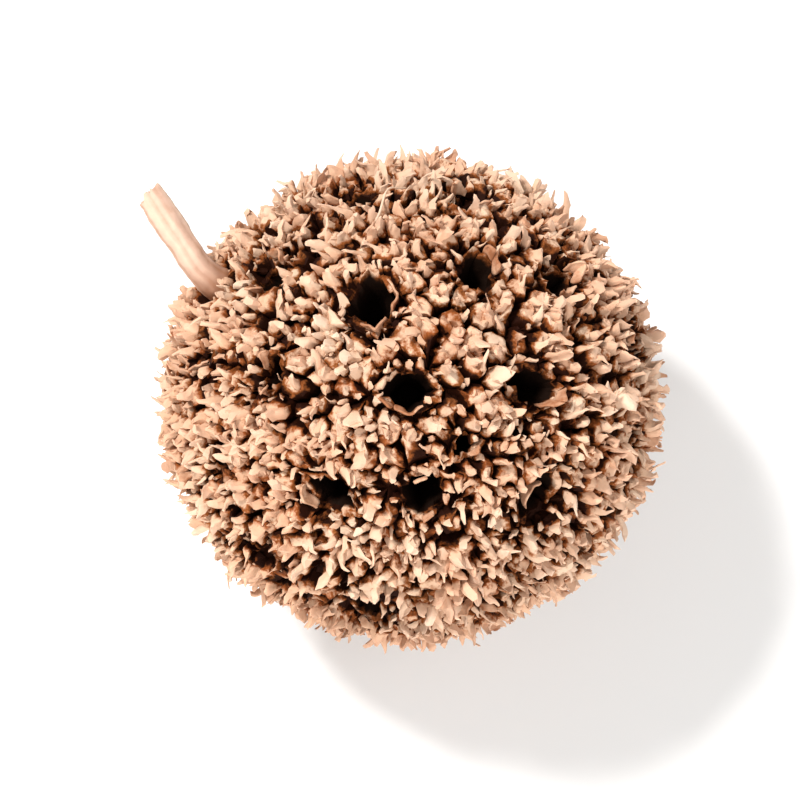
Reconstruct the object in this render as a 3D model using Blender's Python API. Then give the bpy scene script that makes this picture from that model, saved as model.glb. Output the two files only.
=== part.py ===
"""Sweetgum seed ball: one woody ball of fused seed capsules, with the stub of its stalk.

The ball stands on three low spines round the origin, +Z up, with its worn spot between them. Its
surface is a closed skin over a sphere: each spine is a cell of that skin drawn out to a point, and
each open capsule is a lipped pit let into it. The stalk is a bent, tapering rod in a plain socket.
"""

import math

import bmesh
import bpy
import numpy as np
from mathutils import Vector

MM = 0.001

# Driving sizes of the ball
SPINE_TIP_RADIUS = 15.2 * MM
VALLEY_RADIUS = 13.4 * MM
SPINE_HEIGHT_LEAST = 0.80 * MM
SPINE_HEIGHT_MOST = 1.80 * MM
SPINE_PITCH = 1.42 * MM
VALLEY_WAVE = 0.22 * MM
BALL_STRETCH = Vector((1.01, 0.985, 0.975))
BALL_WAVE = 0.012
BALL_WAVE_SCALE = 2.6
BALL_WAVE_PHASE = 0.7

# How the spines stand, as shares of their pitch
SPINE_JITTER = 0.35
SPINE_LEAN = 0.32
TWO_POINTED_WIDTH = 0.40
RIDGE_LENGTH = 0.70
RESTING_ROOM = 0.60

# How the spines stand, as shares of other things
TWO_POINTED_SHARE = 0.28
LEAN_LEAVES = 0.3
LEAN_EASED = 0.6
LEAN_TRIES = 6

# What the ball rests on: three spines reach the floor, and those between them are worn short
REST_HEIGHT = 14.05 * MM
FOOT_REACH = 5.0 * MM
FOOT_HEADINGS = (95, 212, 333)
WORN_GAP = 0.12 * MM
SPOT_SPINE_REACH = 1.5 * MM
SPOT_HEIGHT = 0.003 * MM

# Open capsules
CAPSULE_COUNT = 48
CAPSULE_JITTER = 0.05
CAPSULE_SPACING = 0.98
CAPSULE_LONG = (1.15 * MM, 1.75 * MM)
CAPSULE_WIDE = (0.80 * MM, 1.35 * MM)
CAPSULE_SIDES = 8
CAPSULE_CORNER_POWER = 1.25
CAPSULE_UNEVENNESS = 0.10
CAPSULE_DEPTH = 4.8 * MM
CAPSULE_FLOOR = 0.62
LIP_THICKNESS = 0.65 * MM
LIP_EDGE = 0.30 * MM
LIP_CREST_RADIUS = 14.0 * MM
LIP_BEAK = 0.40 * MM
LIP_WAVE = 0.25 * MM
SPINE_CLEARANCE = 0.38 * MM

# The described side of the ball: its pole leans forward of straight up, and its edge is the
# height above the ball's middle, as a share of the radius, down to which it reaches
FACE_LEAN = math.radians(12.0)
FACE_EDGE = 0.42
FACE_RIGHT = Vector((1.0, 0.0, 0.0))
FACE_UP = Vector((0.0, math.cos(FACE_LEAN), math.sin(FACE_LEAN)))
FACE_OUT = Vector((0.0, -math.sin(FACE_LEAN), math.cos(FACE_LEAN)))

# Capsules of that side: right, up, half length, half width in mm, and the long axis's turn in degrees
FACE_CAPSULES = (
    (-2.2, 5.9, 2.00, 1.60, 100),
    (3.9, 7.7, 1.45, 1.25, 80),
    (8.6, 7.2, 1.60, 1.10, 35),
    (-0.3, 0.5, 1.60, 1.35, 5),
    (7.2, 0.9, 1.75, 1.35, 0),
    (-4.7, -5.6, 1.65, 1.15, 145),
    (0.8, -5.7, 1.60, 1.30, 80),
    (7.5, -5.9, 1.70, 1.30, 60),
    (3.2, -2.9, 0.85, 0.45, 25),
    (-8.2, 7.4, 1.45, 0.95, 60),
    (3.5, 12.1, 1.30, 1.00, 10),
    (-8.1, 1.8, 1.35, 0.45, 85),
    (-12.0, 2.6, 1.10, 0.50, 20),
)

# Stalk
STALK_RADIUS = 0.80 * MM
STALK_BULGE = 0.16
STALK_BASE_AT = (-12.3, 7.6)
STALK_END_HEADING = (-0.55, 0.83, 0.08)
STALK_KNEE_RADIUS = 14.7 * MM
STALK_BEND = 1.3 * MM
STALK_REACH = 6.0 * MM
STALK_STEPS = 5
STALK_SWELL = 0.06
STALK_SWELLS = 9.0
SOCKET_GAP = 0.30 * MM
SOCKET_DEPTH = 2.3 * MM

BALL_COLOUR = (0.36, 0.19, 0.10)
STALK_COLOUR = (0.50, 0.30, 0.20)

BALL_CENTRE = Vector((0.0, 0.0, REST_HEIGHT))
GOLDEN_TURN = math.pi * (3.0 - math.sqrt(5.0))
PUSH_SHARE = 0.4
CAPSULE_ROUNDS = 60
SPINE_ROUNDS = 14
SEED = 41

NO_KIND, SPINE = 0, -1


class Pit:
    """A pit let into the ball: a frame on the unit sphere, and the half sizes of its mouth."""

    def __init__(self, normal, along, half_long, half_wide, is_socket=False):
        self.normal = Vector(normal).normalized()
        along = Vector(along)
        self.along = (along - along.dot(self.normal) * self.normal).normalized()
        self.across = self.normal.cross(self.along)
        self.half_long = half_long
        self.half_wide = half_wide
        self.is_socket = is_socket

    def flat_place(self, direction):
        """Where a direction falls on the plane that touches the unit sphere at the pit."""
        height = direction.dot(self.normal)
        return direction.dot(self.along) / height, direction.dot(self.across) / height

    def direction(self, x, y):
        return (self.normal + x * self.along + y * self.across).normalized()


def clear_scene():
    for obj in list(bpy.data.objects):
        bpy.data.objects.remove(obj, do_unlink=True)


def make_material(name, colour, roughness):
    material = bpy.data.materials.new(name)
    material.use_nodes = True
    shader = material.node_tree.nodes["Principled BSDF"]
    shader.inputs["Base Color"].default_value = (*colour, 1.0)
    shader.inputs["Roughness"].default_value = roughness
    shader.inputs["Metallic"].default_value = 0.0
    return material


def resting_tips():
    """The tips of the three spines that reach the floor and of the one that ends in the flat spot,
    from the ball's centre."""
    tips = []
    for heading in FOOT_HEADINGS:
        turn = math.radians(heading)
        x, y = FOOT_REACH * math.cos(turn), FOOT_REACH * math.sin(turn)
        tips.append(Vector((x, y, -REST_HEIGHT)))
    tips.append(Vector((0.0, 0.0, -REST_HEIGHT - SPOT_SPINE_REACH)))
    return tips


def unstretched(place):
    """The direction on the unit sphere of a place on the ball."""
    return Vector(a / b for a, b in zip(place, BALL_STRETCH)).normalized()


def face_direction(right_mm, up_mm, radius):
    """The direction from the ball's centre to a place on the described side."""
    right, up = right_mm * MM / radius, up_mm * MM / radius
    out = math.sqrt(1.0 - right * right - up * up)
    return (right * FACE_RIGHT + up * FACE_UP + out * FACE_OUT).normalized()


def even_directions(count, draw, jitter):
    """Directions on a golden spiral over the sphere, each moved a little."""
    steps = np.arange(count) + 0.5
    height = 1.0 - 2.0 * steps / count
    turn = GOLDEN_TURN * steps
    ring = np.sqrt(1.0 - height * height)
    points = np.column_stack([ring * np.cos(turn), ring * np.sin(turn), height])
    return unit_rows(points + draw.normal(0.0, jitter, points.shape))


def unit_rows(points):
    return points / np.linalg.norm(points, axis=1, keepdims=True)


def pushed_apart(free, fixed, gap):
    """One round of pushing every free direction off its nearer neighbours; the fixed ones stay."""
    offset = free[:, None, :] - np.vstack([free, fixed])[None, :, :]
    distance = np.linalg.norm(offset, axis=2)
    np.fill_diagonal(distance, np.inf)
    push = np.clip(gap - distance, 0.0, None) / distance
    return unit_rows(free + PUSH_SHARE * (offset * push[:, :, None]).sum(axis=1))


def pushed_off_face(points):
    """Moves any direction on the described side straight back to that side's edge."""
    pole = np.array(FACE_OUT)
    height = points @ pole
    ahead = height > FACE_EDGE
    aside = unit_rows(points[ahead] - height[ahead, None] * pole)
    points[ahead] = FACE_EDGE * pole + math.sqrt(1.0 - FACE_EDGE * FACE_EDGE) * aside
    return points


def make_pits(draw):
    """The capsules of the described side, the stalk's socket, and the rest spread over the ball."""
    pits = []
    for right, up, half_long, half_wide, turn in FACE_CAPSULES:
        heading = math.radians(turn)
        along = math.cos(heading) * FACE_RIGHT + math.sin(heading) * FACE_UP
        normal = face_direction(right, up, LIP_CREST_RADIUS)
        pits.append(Pit(normal, along, half_long * MM, half_wide * MM))
    mouth = STALK_RADIUS + SOCKET_GAP
    pits.append(Pit(face_direction(*STALK_BASE_AT, SPINE_TIP_RADIUS), FACE_UP, mouth, mouth, True))

    kept_clear = [pit.normal for pit in pits] + [unstretched(tip) for tip in resting_tips()]
    fixed = np.array([tuple(direction) for direction in kept_clear])
    free = even_directions(CAPSULE_COUNT, draw, CAPSULE_JITTER)
    free = free[np.argsort(free @ np.array(FACE_OUT), kind="stable")]
    free = free[: CAPSULE_COUNT - len(FACE_CAPSULES)]
    gap = CAPSULE_SPACING * math.sqrt(8.0 * math.pi / (math.sqrt(3.0) * CAPSULE_COUNT))
    for _ in range(CAPSULE_ROUNDS):
        free = pushed_off_face(pushed_apart(free, fixed, gap))
    for normal in free:
        along = draw.normal(size=3)
        half_long = draw.uniform(*CAPSULE_LONG)
        half_wide = min(draw.uniform(*CAPSULE_WIDE), 0.9 * half_long)
        pits.append(Pit(normal, along, half_long, half_wide))
    return pits


def pushed_off_pits(points, pits, clearance):
    """Moves any direction that lies on a pit, or on its rim, out to the rim's edge."""
    for pit in pits:
        normal, along, across = (np.array(axis) for axis in (pit.normal, pit.along, pit.across))
        height = points @ normal
        near = height > 0.9
        x = points[near] @ along / height[near]
        y = points[near] @ across / height[near]
        reach_x = (pit.half_long + clearance) / VALLEY_RADIUS
        reach_y = (pit.half_wide + clearance) / VALLEY_RADIUS
        share = np.hypot(x / reach_x, y / reach_y)
        grow = np.where(share < 1.0, 1.0 / np.maximum(share, 0.05), 1.0)
        moved = normal + (grow * x)[:, None] * along + (grow * y)[:, None] * across
        points[near] = unit_rows(moved)
    return points


def spine_directions(pits, draw):
    """Where the spines stand: evenly but not regularly, clear of every pit and resting spine."""
    gap = SPINE_PITCH / VALLEY_RADIUS
    count = int(8.0 * math.pi / (math.sqrt(3.0) * gap * gap))
    points = even_directions(count, draw, SPINE_JITTER * gap)
    clearance = LIP_THICKNESS + SPINE_CLEARANCE
    inside = np.zeros(len(points), bool)
    for pit in pits:
        x = points @ np.array(pit.along)
        y = points @ np.array(pit.across)
        ahead = points @ np.array(pit.normal) > 0.0
        reach_x = (pit.half_long + 0.6 * clearance) / VALLEY_RADIUS
        reach_y = (pit.half_wide + 0.6 * clearance) / VALLEY_RADIUS
        inside |= ahead & (np.hypot(x / reach_x, y / reach_y) < 1.0)
    points = points[~inside]
    resting = np.array([tuple(unstretched(tip)) for tip in resting_tips()])
    nearest = np.linalg.norm(points[:, None, :] - resting[None, :, :], axis=2).min(axis=1)
    points = points[nearest > RESTING_ROOM * gap]
    for _ in range(SPINE_ROUNDS):
        points = pushed_off_pits(pushed_apart(points, resting, gap), pits, clearance)
    return points


def second_points(spines, pits, draw):
    """For some of the spines, the direction of a second point close beside the first."""
    chosen = spines[draw.random(len(spines)) < TWO_POINTED_SHARE]
    aside = np.cross(chosen, draw.normal(size=chosen.shape))
    step = TWO_POINTED_WIDTH * SPINE_PITCH / VALLEY_RADIUS
    beside = unit_rows(chosen + step * unit_rows(aside))
    return pushed_off_pits(beside, pits, LIP_THICKNESS + 0.8 * SPINE_CLEARANCE)


def mouth_ring(pit, margin, draw):
    """The directions of the points round a pit's mouth: a circle, or a blunt, uneven rhombus."""
    power = 2.0 if pit.is_socket else CAPSULE_CORNER_POWER
    uneven = 0.0 if pit.is_socket else CAPSULE_UNEVENNESS
    ring = []
    for step in range(CAPSULE_SIDES):
        angle = 2.0 * math.pi * step / CAPSULE_SIDES
        cosine, sine = math.cos(angle), math.sin(angle)
        reach = (abs(cosine) ** power + abs(sine) ** power) ** (-1.0 / power)
        reach *= draw.uniform(1.0 - uneven, 1.0 + uneven)
        x = (pit.half_long + margin) * reach * cosine / VALLEY_RADIUS
        y = (pit.half_wide + margin) * reach * sine / VALLEY_RADIUS
        ring.append(pit.direction(x, y))
    return ring


def hull_of_places(spines, pits, draw):
    """A closed mesh on the unit sphere with a vertex for each spine and each point of a mouth.

    The kind layer says what a vertex is: SPINE, a pit's number counted from 1, or NO_KIND. The
    rest layer numbers the resting spines from 1."""
    mesh = bmesh.new()
    kind = mesh.verts.layers.int.new("kind")
    rest = mesh.verts.layers.int.new("rest")
    for direction in spines:
        mesh.verts.new(direction)[kind] = SPINE
    for number, tip in enumerate(resting_tips(), start=1):
        vert = mesh.verts.new(unstretched(tip))
        vert[kind], vert[rest] = SPINE, number
    for number, pit in enumerate(pits, start=1):
        for direction in mouth_ring(pit, LIP_THICKNESS, draw):
            mesh.verts.new(direction)[kind] = number
    bmesh.ops.convex_hull(mesh, input=mesh.verts, use_existing_faces=False)
    return mesh, kind, rest


def open_mouths(mesh, kind, pits):
    """Joins the faces that span each pit's mouth into one, and returns those faces by pit."""
    spans = {number: [] for number in range(1, len(pits) + 1)}
    for face in mesh.faces:
        kinds = {vert[kind] for vert in face.verts}
        if len(kinds) == 1 and kinds.isdisjoint({SPINE, NO_KIND}):
            spans[kinds.pop()].append(face)
    mouths = {}
    for number, faces in spans.items():
        mouths[number] = bmesh.ops.dissolve_faces(mesh, faces=faces)["region"][0]
        if len(mouths[number].verts) != CAPSULE_SIDES:
            raise RuntimeError(f"pit {number} has {len(mouths[number].verts)} points round it")
    return mouths


def cut_valleys(mesh, kind, rest):
    """Puts a low point between neighbouring spines, and joins the low points round each spine."""
    between = [face for face in mesh.faces if sum(v[kind] == SPINE for v in face.verts) > 1]
    ridge = RIDGE_LENGTH * SPINE_PITCH / VALLEY_RADIUS
    saddles = [
        edge
        for edge in mesh.edges
        if all(vert[kind] == SPINE for vert in edge.verts) and edge.calc_length() > ridge
    ]
    for low_point in bmesh.ops.poke(mesh, faces=between)["verts"]:
        low_point[kind], low_point[rest] = NO_KIND, 0
    bmesh.ops.rotate_edges(mesh, edges=saddles, use_ccw=False)


def wave(direction, scale, phase):
    """A slow, smooth wave over the sphere, from -1 to 1."""
    x, y, z = (scale * value for value in direction)
    return (math.sin(x + phase) + math.sin(y * 1.3 + 2.0 * phase) + math.sin(z * 1.7 + z * x)) / 3.0


def stretched(direction, radius):
    """A point at that radius, with the ball's slow unevenness and its slightly flat shape."""
    unevenness = BALL_WAVE * wave(direction, BALL_WAVE_SCALE, BALL_WAVE_PHASE)
    place = direction * radius * (1.0 + unevenness)
    return Vector(a * b for a, b in zip(place, BALL_STRETCH))


def cell_sizes(vert, place):
    """The size of each triangle round a vertex, were the vertex at that place."""
    sizes = []
    for loop in vert.link_loops:
        after, before = loop.link_loop_next.vert.co, loop.link_loop_prev.vert.co
        sizes.append(place.dot(after.cross(before)))
    return sizes


def leaned(vert, lean):
    """The place of a spine's tip, moved aside as far as its own cell has room for."""
    least = [LEAN_LEAVES * size for size in cell_sizes(vert, vert.co)]
    for _ in range(LEAN_TRIES):
        place = (vert.co + lean).normalized()
        if all(size > floor for size, floor in zip(cell_sizes(vert, place), least)):
            return place
        lean = lean * LEAN_EASED
    return vert.co.copy()


def worn_short(place):
    """A place on the ball, drawn in along its own radius until it is clear of the floor."""
    lowest = WORN_GAP - REST_HEIGHT
    return place * (lowest / place.z) if place.z < lowest else place


def raise_spines(mesh, kind, rest, draw):
    """Leans the spines' tips aside, and moves every vertex from the unit sphere to its place."""
    for vert in mesh.verts:
        if vert[kind] == SPINE and not vert[rest]:
            lean = Vector(draw.uniform(-SPINE_LEAN, SPINE_LEAN, 3)) * SPINE_PITCH
            vert.co = leaned(vert, lean / VALLEY_RADIUS)
    tips = resting_tips()
    for vert in mesh.verts:
        if vert[rest]:
            vert.co = tips[vert[rest] - 1]
            continue
        if vert[kind] == SPINE:
            height = draw.uniform(SPINE_HEIGHT_LEAST, SPINE_HEIGHT_MOST)
            radius = SPINE_TIP_RADIUS - SPINE_HEIGHT_MOST + height
        else:
            radius = VALLEY_RADIUS + draw.uniform(-VALLEY_WAVE, VALLEY_WAVE)
        vert.co = worn_short(stretched(vert.co.normalized(), radius))


def sink_pit(mesh, mouth, pit, draw):
    """Draws a mouth up into its lip and then down to the pit's floor, ring by ring."""
    if pit.is_socket:
        rings = (
            (LIP_EDGE, VALLEY_RADIUS, 1.0, 0.0),
            (0.0, VALLEY_RADIUS, 1.0, 0.0),
            (0.0, VALLEY_RADIUS - SOCKET_DEPTH, 1.0, 0.0),
        )
    else:
        rings = (
            (LIP_EDGE, LIP_CREST_RADIUS, 1.0, 1.0),
            (0.0, LIP_CREST_RADIUS - 0.5 * LIP_EDGE, 1.0, 1.0),
            (0.0, LIP_CREST_RADIUS - CAPSULE_DEPTH, CAPSULE_FLOOR, 0.0),
        )
    margin, share = LIP_THICKNESS, 1.0
    heights = draw.uniform(-LIP_WAVE, LIP_WAVE, CAPSULE_SIDES)
    for next_margin, radius, next_share, rise in rings:
        narrow_x = (pit.half_long + next_margin) * next_share / ((pit.half_long + margin) * share)
        narrow_y = (pit.half_wide + next_margin) * next_share / ((pit.half_wide + margin) * share)
        mouth = bmesh.ops.extrude_discrete_faces(mesh, faces=[mouth])["faces"][0]
        for vert, height in zip(mouth.verts, heights):
            x, y = pit.flat_place(unstretched(vert.co))
            beak = LIP_BEAK * (x * x - y * y) / (x * x + y * y)
            at_radius = radius + rise * (height + beak)
            vert.co = stretched(pit.direction(x * narrow_x, y * narrow_y), at_radius)
        margin, share = next_margin, next_share


def wear_flat_spot(mesh):
    """Cuts the lowest spine off level: its flat end is the ball's resting spot."""
    lowest = min(mesh.verts, key=lambda vert: vert.co.z)
    spine = [lowest, *lowest.link_edges, *lowest.link_faces]
    spot = (0.0, 0.0, SPOT_HEIGHT)
    bmesh.ops.bisect_plane(mesh, geom=spine, plane_co=spot, plane_no=(0, 0, -1), clear_outer=True)
    edges = [edge for edge in mesh.edges if edge.is_boundary]
    bmesh.ops.holes_fill(mesh, edges=edges)


def build_ball(collection, pits):
    draw = np.random.default_rng(SEED)
    spines = spine_directions(pits, draw)
    spines = np.vstack([spines, second_points(spines, pits, draw)])
    mesh, kind, rest = hull_of_places(spines, pits, draw)
    mouths = open_mouths(mesh, kind, pits)
    cut_valleys(mesh, kind, rest)
    raise_spines(mesh, kind, rest, draw)
    for number, pit in enumerate(pits, start=1):
        sink_pit(mesh, mouths[number], pit, draw)
    bmesh.ops.translate(mesh, verts=mesh.verts, vec=BALL_CENTRE)
    wear_flat_spot(mesh)
    bmesh.ops.triangulate(mesh, faces=mesh.faces)
    bmesh.ops.recalc_face_normals(mesh, faces=mesh.faces)
    data = bpy.data.meshes.new("seed_ball")
    mesh.to_mesh(data)
    mesh.free()
    ball = bpy.data.objects.new("seed_ball", data)
    collection.objects.link(ball)
    data.materials.append(make_material("ball_wood", BALL_COLOUR, 0.75))
    return ball


def stalk_route(socket):
    """The stalk's centreline: out of its socket, round a bend among the spines, then straight."""
    out = socket.normal
    heading = Vector(STALK_END_HEADING).normalized()
    heading = heading.x * FACE_RIGHT + heading.y * FACE_UP + heading.z * FACE_OUT
    foot = BALL_CENTRE + stretched(out, VALLEY_RADIUS - SOCKET_DEPTH + SOCKET_GAP)
    collar = BALL_CENTRE + stretched(out, VALLEY_RADIUS)
    knee = BALL_CENTRE + stretched(out, STALK_KNEE_RADIUS)
    bent = knee + heading * STALK_BEND
    end = knee + heading * STALK_REACH
    route = [foot]
    for step in range(STALK_STEPS + 1):
        t = step / STALK_STEPS
        route.append((1 - t) ** 2 * collar + 2 * t * (1 - t) * knee + t * t * bent)
    for step in range(STALK_STEPS):
        route.append(bent.lerp(end, (step + 1) / STALK_STEPS))
    return route


def build_stalk(collection, socket):
    curve = bpy.data.curves.new("stalk", "CURVE")
    curve.dimensions = "3D"
    curve.bevel_depth = STALK_RADIUS
    curve.bevel_resolution = 3
    curve.use_fill_caps = True
    route = stalk_route(socket)
    spline = curve.splines.new("POLY")
    spline.points.add(len(route) - 1)
    for number, (point, place) in enumerate(zip(spline.points, route)):
        share = number / (len(route) - 1)
        point.co = (*place, 1.0)
        bulge = 1.0 + STALK_BULGE * math.sin(math.pi * share)
        swell = 1.0 + STALK_SWELL * math.sin(STALK_SWELLS * share)
        point.radius = bulge * swell / (1.0 + STALK_SWELL)
    stalk = bpy.data.objects.new("stalk", curve)
    collection.objects.link(stalk)
    curve.materials.append(make_material("stalk_bark", STALK_COLOUR, 0.70))
    return stalk


def main():
    clear_scene()
    collection = bpy.data.collections.new("sweetgum_seed_ball")
    bpy.context.scene.collection.children.link(collection)
    pits = make_pits(np.random.default_rng(SEED))
    build_ball(collection, pits)
    build_stalk(collection, next(pit for pit in pits if pit.is_socket))


main()
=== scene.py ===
import math
import bmesh
import bpy
import numpy as np
from bpy.props import FloatProperty, FloatVectorProperty, PointerProperty
from bpy.types import Operator, Panel, PropertyGroup
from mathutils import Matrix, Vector, noise


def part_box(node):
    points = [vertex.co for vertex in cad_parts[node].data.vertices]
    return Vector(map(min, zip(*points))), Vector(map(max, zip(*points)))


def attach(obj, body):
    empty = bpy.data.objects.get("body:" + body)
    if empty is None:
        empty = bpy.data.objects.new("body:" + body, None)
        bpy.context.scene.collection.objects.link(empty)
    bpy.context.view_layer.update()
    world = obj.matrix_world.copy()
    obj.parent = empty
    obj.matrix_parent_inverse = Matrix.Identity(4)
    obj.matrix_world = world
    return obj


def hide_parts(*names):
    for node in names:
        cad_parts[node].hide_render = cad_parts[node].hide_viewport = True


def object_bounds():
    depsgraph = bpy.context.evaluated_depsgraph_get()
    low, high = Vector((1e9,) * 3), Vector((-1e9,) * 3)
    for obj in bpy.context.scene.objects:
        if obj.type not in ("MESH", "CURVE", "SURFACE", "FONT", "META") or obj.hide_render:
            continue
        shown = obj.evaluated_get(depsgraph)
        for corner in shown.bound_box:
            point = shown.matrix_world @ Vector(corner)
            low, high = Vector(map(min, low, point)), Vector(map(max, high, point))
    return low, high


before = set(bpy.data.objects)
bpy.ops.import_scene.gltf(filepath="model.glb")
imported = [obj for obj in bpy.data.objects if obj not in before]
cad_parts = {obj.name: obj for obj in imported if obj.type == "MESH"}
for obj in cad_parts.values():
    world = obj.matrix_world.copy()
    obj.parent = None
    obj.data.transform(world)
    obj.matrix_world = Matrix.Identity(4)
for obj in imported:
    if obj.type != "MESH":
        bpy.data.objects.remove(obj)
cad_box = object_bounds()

bl_info = {
    "name": "Sweetgum Seed Ball",
    "version": (1, 0, 0),
    "blender": (4, 5, 0),
    "location": "3D View > Sidebar > Seed Ball",
    "description": "Dresses the solids of a dried sweetgum seed ball with its fine surface",
    "category": "Add Mesh",
}

MM = 0.001

# Driving sizes of the solid ball, which the fine surface follows
SPINE_TIP_RADIUS = 15.2 * MM
VALLEY_RADIUS = 13.4 * MM
SPINE_HEIGHT_LEAST = 0.80 * MM
SPINE_HEIGHT_MOST = 1.80 * MM
SPINE_PITCH = 1.42 * MM
VALLEY_WAVE = 0.22 * MM
BALL_STRETCH = Vector((1.01, 0.985, 0.975))
BALL_WAVE = 0.012
BALL_WAVE_SCALE = 2.6
BALL_WAVE_PHASE = 0.7

# How the spines stand, as shares of their pitch
SPINE_JITTER = 0.35
SPINE_LEAN = 0.32
TWO_POINTED_WIDTH = 0.40
RIDGE_LENGTH = 0.70
RESTING_ROOM = 0.60

# How the spines stand, as shares of other things
TWO_POINTED_SHARE = 0.28
LEAN_LEAVES = 0.3
LEAN_EASED = 0.6
LEAN_TRIES = 6

# What the ball rests on: three spines reach the floor, and those between them are worn short
REST_HEIGHT = 14.05 * MM
FOOT_REACH = 5.0 * MM
FOOT_HEADINGS = (95, 212, 333)
WORN_GAP = 0.12 * MM
SPOT_SPINE_REACH = 1.5 * MM

# Open capsules
CAPSULE_COUNT = 48
CAPSULE_JITTER = 0.05
CAPSULE_SPACING = 0.98
CAPSULE_LONG = (1.15 * MM, 1.75 * MM)
CAPSULE_WIDE = (0.80 * MM, 1.35 * MM)
CAPSULE_SIDES = 8
CAPSULE_CORNER_POWER = 1.25
CAPSULE_UNEVENNESS = 0.10
CAPSULE_DEPTH = 4.8 * MM
CAPSULE_FLOOR = 0.62
LIP_THICKNESS = 0.65 * MM
LIP_EDGE = 0.30 * MM
LIP_CREST_RADIUS = 14.0 * MM
LIP_BEAK = 0.40 * MM
LIP_WAVE = 0.25 * MM
SPINE_CLEARANCE = 0.38 * MM

# The side of the ball that the camera sees: its pole leans forward of straight up, and its edge
# is the height above the ball's middle, as a share of the radius, down to which it reaches
FACE_LEAN = math.radians(12.0)
FACE_EDGE = 0.42
FACE_RIGHT = Vector((1.0, 0.0, 0.0))
FACE_UP = Vector((0.0, math.cos(FACE_LEAN), math.sin(FACE_LEAN)))
FACE_OUT = Vector((0.0, -math.sin(FACE_LEAN), math.cos(FACE_LEAN)))

# Capsules of that side: right, up, half length and half width in mm, and the turn of the long
# axis in degrees
FACE_CAPSULES = (
    (-2.2, 5.9, 2.00, 1.60, 100),
    (3.9, 7.7, 1.45, 1.25, 80),
    (8.6, 7.2, 1.60, 1.10, 35),
    (-0.3, 0.5, 1.60, 1.35, 5),
    (7.2, 0.9, 1.75, 1.35, 0),
    (-4.7, -5.6, 1.65, 1.15, 145),
    (0.8, -5.7, 1.60, 1.30, 80),
    (7.5, -5.9, 1.70, 1.30, 60),
    (3.2, -2.9, 0.85, 0.45, 25),
    (-8.2, 7.4, 1.45, 0.95, 60),
    (3.5, 12.1, 1.30, 1.00, 10),
    (-8.1, 1.8, 1.35, 0.45, 85),
    (-12.0, 2.6, 1.10, 0.50, 20),
)

# Papery valves of those capsules: each side's height, as a share of the tallest valves, and
# which of its five points is the highest, counted round the mouth
FACE_VALVES = (
    ((0.9, 1), (0.4, 3)),
    ((1.0, 0), (1.0, 4)),
    ((1.0, 1), (0.9, 3)),
    ((0.8, 1), (0.8, 4)),
    ((0.9, 0), (0.9, 4)),
    ((1.0, 2), (0.0, 2)),
    ((0.8, 4), (0.3, 4)),
    ((0.0, 2), (0.9, 1)),
    ((0.6, 2), (0.0, 2)),
    ((0.6, 2), (0.8, 2)),
    ((0.8, 2), (0.7, 2)),
    ((0.7, 1), (0.4, 2)),
    ((0.5, 2), (0.5, 2)),
)

# Fine dry fibre that clings to that side: its two ends, right and up in mm
FIBRE_ENDS = ((-2.1, 11.0), (-0.3, 13.2))
FIBRE_RADIUS = 0.085 * MM
FIBRE_SIDES = 5
FIBRE_STEPS = 16

# Stalk
STALK_RADIUS = 0.80 * MM
STALK_BULGE = 0.16
STALK_BASE_AT = (-12.3, 7.6)
STALK_END_HEADING = (-0.55, 0.83, 0.08)
STALK_KNEE_RADIUS = 14.7 * MM
STALK_BEND = 1.3 * MM
STALK_REACH = 6.0 * MM
STALK_STEPS = 5
STALK_SWELL = 0.06
STALK_SWELLS = 9.0
SOCKET_GAP = 0.30 * MM
SOCKET_DEPTH = 2.3 * MM
BARK_COVER = 1.08
BARK_RIDGES = (7.0, 12.0, 3.0)
BARK_TWIST = 1.2
FLARE_FADE = 0.9 * MM
# How far up the stalk the painted shade at its foot fades
FOOT_SHADE_FADE = 1.4 * MM
SPLINTERS_FROM = 0.86

# Rings of the stalk's broken end: radius as a share of the stalk's, and depth as a share of the
# splinters' length
BREAK_RINGS = ((0.80, 0.10), (0.55, 0.35), (0.30, 0.20))

# How finely the dressing is cut: counts, shares of the way up a crumb, and shares of a valve's
# height outside the rim and of its skirt inside
CRUMB_SIDES = 8
CRUMB_LEVELS = (0.0, 0.30, 0.55, 0.74, 0.89, 1.0)
VALVE_STEPS = 21
VALVE_ROWS = (-0.8, -0.1, 0.5, 1.0)
BARK_RINGS = 84
BARK_SIDES = 40
WOOD_SHARP = math.radians(40.0)
BARK_SHARP = math.radians(50.0)

# How the crumbs vary: spreads, shares, or the least and the most; and how far rim crumbs lean
# out, usually and by spread
CRUMB_WIDTH_SPREAD = 0.24
CRUMB_WIDTH_RANGE = (0.55, 1.2)
CRUMB_FLATNESS = (1.0, 1.32)
CRUMB_BOW = 0.12
CRUMB_HOOK = 0.16
CRUMB_CORNERS = (0.74, 1.20)
CRUMB_TWIST = 0.5
CRUMB_TILT = 0.32
CRUMB_POINTED_SHARE = 0.45
CRUMB_POINTED_TOPS = (0.12, 0.30)
CRUMB_BLUNT_TOPS = (0.32, 0.58)
RIM_CRUMB_OUTWARD = (0.12 * MM, 0.24 * MM)

# How the valves vary, and how far they go on inside the rim
VALVE_HEIGHTS = (0.0, 0.5, 0.7, 0.9, 1.0)
VALVE_LEAST = 0.28
VALVE_CURL = (-0.10, 0.55)
VALVE_JAGS = (0.40, 1.0)
VALVE_SKIRT = 0.4 * MM
VALVE_SKIRT_LEAN = 0.12 * MM

# Noises: the size of each one's swells, and an offset that sets it apart from the others
NOISES = {
    "skin patches": (2.3 * MM, 17.0),
    "skin folds": (0.62 * MM, 47.0),
    "skin crook": (1.1 * MM, 5.0),
    "skin lumps": (0.40 * MM, 31.0),
    "torn lips": (0.5 * MM, 71.0),
    "filled hollows": (2.6 * MM, 9.0),
    "crumb lumps": (0.50 * MM, 3.0),
    "small crumb lumps": (0.24 * MM, 63.0),
    "crumb tones": (4.5 * MM, 21.0),
    "valve wrinkles": (0.55 * MM, 8.0),
    "small valve wrinkles": (0.22 * MM, 77.0),
    "bark lumps": (0.9 * MM, 12.0),
    "small bark lumps": (0.3 * MM, 55.0),
}

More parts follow.
